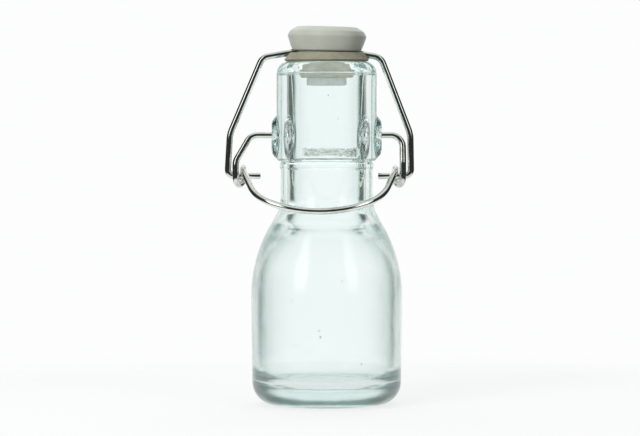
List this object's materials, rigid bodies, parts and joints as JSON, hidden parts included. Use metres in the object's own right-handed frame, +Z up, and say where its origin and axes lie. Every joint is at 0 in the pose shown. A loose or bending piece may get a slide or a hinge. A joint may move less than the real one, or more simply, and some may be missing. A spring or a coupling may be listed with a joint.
{
  "type": "swing-top bottle",
  "caption": "Small clear glass bottle with a wide round neck, closed by a rubber-sealed stopper that a hinged wire bail and a wire lever clamp down.",
  "frame": {"origin": "on the bottle's axis, level with the surface it stands on", "axes": "+Z up along the bottle's axis; the lever's handle hangs at the front, -Y; the pivots lie along X"},
  "size_m": [0.0543, 0.0432, 0.1081],
  "materials": {
    "glass": "clear, faintly green pressed glass",
    "stopper_plastic": "satin grey-white moulded plastic",
    "gasket_rubber": "matt beige rubber",
    "bail_wire": "bright drawn steel wire",
    "lever_wire": "bright drawn steel wire"
  },
  "bodies": {
    "bottle": {"bottle": "glass"},
    "lever": {"lever": "lever_wire"},
    "bail": {"bail": "bail_wire"},
    "stopper": {"stopper": "stopper_plastic", "gasket": "gasket_rubber"}
  },
  "joints": [
    {"name": "lever_hinge", "type": "hinge", "parent": "bottle", "child": "lever", "pos_m": [0, 0, 0.077], "axis": [1, 0, 0], "range_deg": [-180, 0]},
    {"name": "bail_hinge", "type": "hinge", "parent": "lever", "child": "bail", "pos_m": [-0.0021, 0.0008, 0.0653], "axis": [1, 0, 0], "range_deg": [0, 129.6]},
    {"name": "stopper_hinge", "type": "hinge", "parent": "bail", "child": "stopper", "pos_m": [0, 0, 0.1008], "axis": [1, 0, 0], "range_deg": [0, 50.4]}
  ],
  "couplings": [
    {"joint": "bail_hinge", "follows": "lever_hinge", "ratio": -0.72},
    {"joint": "stopper_hinge", "follows": "lever_hinge", "ratio": -0.28}
  ]
}
